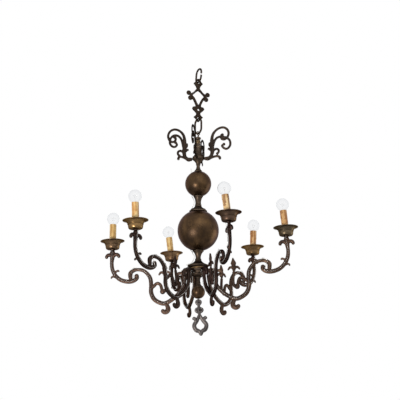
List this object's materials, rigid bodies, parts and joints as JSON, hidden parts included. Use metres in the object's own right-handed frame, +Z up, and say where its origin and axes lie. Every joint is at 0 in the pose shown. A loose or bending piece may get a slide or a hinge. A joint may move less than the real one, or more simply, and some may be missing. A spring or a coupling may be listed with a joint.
{
  "type": "chandelier",
  "caption": "Cast bronze chandelier with scroll arms, candle sleeves and globe bulbs, turned ball stem, scroll crown and openwork drop, hung from a ring and an ornamental link.",
  "frame": {"origin": "the point inside the top of the top ring that rests on the ceiling hook", "axes": "+Z up along the stem, +X along the first arm"},
  "size_m": [0.7276, 0.6424, 1.0142],
  "materials": {
    "dark_bronze": "dark brown patina, satin",
    "ball_bronze": "brown patina, polished by handling",
    "worn_brass": "olive brass patina, satin",
    "grey_bronze": "grey brown patina, satin",
    "steel": "plain",
    "candle_sleeve": "cream and tan, with painted drips",
    "porcelain": "white, glazed",
    "clear_glass": "clear",
    "clear_plastic": "clear twin flex"
  },
  "bodies": {
    "top_ring": {"top_ring": "dark_bronze"},
    "link": {"suspension_link": "dark_bronze"},
    "stem_ring": {"stem_ring": "dark_bronze"},
    "chandelier": {"stem_eye": "dark_bronze", "crown_hub": "dark_bronze", "crown_bracket_1": "dark_bronze", "crown_bracket_2": "dark_bronze", "crown_bracket_3": "dark_bronze", "crown_bracket_4": "dark_bronze", "small_ball": "ball_bronze", "middle_neck": "dark_bronze", "big_ball": "ball_bronze", "lower_neck": "dark_bronze", "clamp_ring": "worn_brass", "arm_plate": "dark_bronze", "arm_1": "dark_bronze", "arm_lead_1": "clear_plastic", "drip_cup_1": "worn_brass", "candle_sleeve_1": "candle_sleeve", "lamp_holder_1": "porcelain", "arm_2": "dark_bronze", "arm_lead_2": "clear_plastic", "drip_cup_2": "worn_brass", "candle_sleeve_2": "candle_sleeve", "lamp_holder_2": "porcelain", "arm_3": "dark_bronze", "arm_lead_3": "clear_plastic", "drip_cup_3": "worn_brass", "candle_sleeve_3": "candle_sleeve", "lamp_holder_3": "porcelain", "arm_4": "dark_bronze", "arm_lead_4": "clear_plastic", "drip_cup_4": "worn_brass", "candle_sleeve_4": "candle_sleeve", "lamp_holder_4": "porcelain", "arm_5": "dark_bronze", "arm_lead_5": "clear_plastic", "drip_cup_5": "worn_brass", "candle_sleeve_5": "candle_sleeve", "lamp_holder_5": "porcelain", "arm_6": "dark_bronze", "arm_lead_6": "clear_plastic", "drip_cup_6": "worn_brass", "candle_sleeve_6": "candle_sleeve", "lamp_holder_6": "porcelain", "collar_cup": "dark_bronze", "lower_spindle": "dark_bronze", "pendant_ball": "ball_bronze", "drop_ornament": "grey_bronze", "tie_rod": "steel", "supply_lead": "clear_plastic"},
    "bulb_1": {"bulb_1": "clear_glass"},
    "bulb_2": {"bulb_2": "clear_glass"},
    "bulb_3": {"bulb_3": "clear_glass"},
    "bulb_4": {"bulb_4": "clear_glass"},
    "bulb_5": {"bulb_5": "clear_glass"},
    "bulb_6": {"bulb_6": "clear_glass"}
  },
  "joints": [
    {"name": "link_swing", "type": "hinge", "parent": "top_ring", "child": "link", "pos_m": [0, 0, -0.0502], "axis": [0.6691, -0.7431, 0], "range_deg": [-20, 20]},
    {"name": "stem_ring_swing", "type": "hinge", "parent": "link", "child": "stem_ring", "pos_m": [0, 0, -0.1964], "axis": [0.766, -0.6428, 0], "range_deg": [-20, 20]},
    {"name": "stem_swing", "type": "hinge", "parent": "stem_ring", "child": "chandelier", "pos_m": [0, 0, -0.2355], "axis": [0.6428, 0.766, 0], "range_deg": [-12, 12]},
    {"name": "bulb_1_out", "type": "slide", "parent": "chandelier", "child": "bulb_1", "axis": [-0.0923, -0.0184, 0.9956], "range_m": [0, 0.03]},
    {"name": "bulb_2_out", "type": "slide", "parent": "chandelier", "child": "bulb_2", "axis": [0.0342, 0.0068, 0.9994], "range_m": [0, 0.03]},
    {"name": "bulb_3_out", "type": "slide", "parent": "chandelier", "child": "bulb_3", "axis": [-0.1195, -0.0239, 0.9925], "range_m": [0, 0.03]},
    {"name": "bulb_4_out", "type": "slide", "parent": "chandelier", "child": "bulb_4", "axis": [0, 0, 1], "range_m": [0, 0.03]},
    {"name": "bulb_5_out", "type": "slide", "parent": "chandelier", "child": "bulb_5", "axis": [-0.0342, -0.0068, 0.9994], "range_m": [0, 0.03]},
    {"name": "bulb_6_out", "type": "slide", "parent": "chandelier", "child": "bulb_6", "axis": [-0.1263, -0.0252, 0.9917], "range_m": [0, 0.03]}
  ]
}
